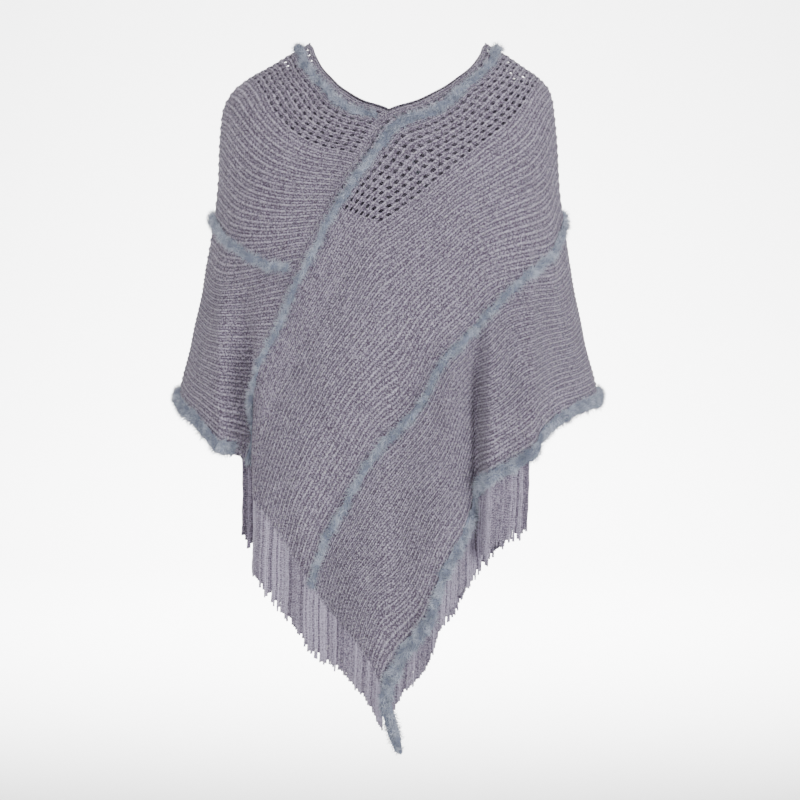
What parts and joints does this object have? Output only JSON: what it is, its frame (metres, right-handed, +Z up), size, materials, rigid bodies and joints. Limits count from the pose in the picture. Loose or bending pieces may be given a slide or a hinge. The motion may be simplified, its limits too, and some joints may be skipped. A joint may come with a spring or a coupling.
{
  "type": "knitted poncho sweater",
  "caption": "Ribbed knit poncho with a V neck, pointed front and back, fur-trimmed edges, an openwork yoke and yarn fringe, shaped as worn.",
  "frame": {"origin": "between the shoulders at the height of the neck's two peaks, where a wearer's shoulders hold the poncho up", "axes": "+Z up, -Y the front, +X the wearer's left"},
  "size_m": [0.5626, 0.3354, 0.9035],
  "materials": {
    "knit": "ribbed knit, grey mauve melange",
    "fur": "short blue-grey fur",
    "yarn": "twisted yarn, grey mauve melange"
  },
  "bodies": {
    "root": {"left_panel": "knit", "left_inner_fur": "fur", "left_middle_fur": "fur", "left_hem_fur": "fur", "left_short_fringe": "yarn", "left_long_fringe": "yarn", "right_panel": "knit", "right_inner_fur": "fur", "right_middle_fur": "fur", "right_hem_fur": "fur", "right_short_fringe": "yarn", "right_long_fringe": "yarn"}
  },
  "joints": []
}
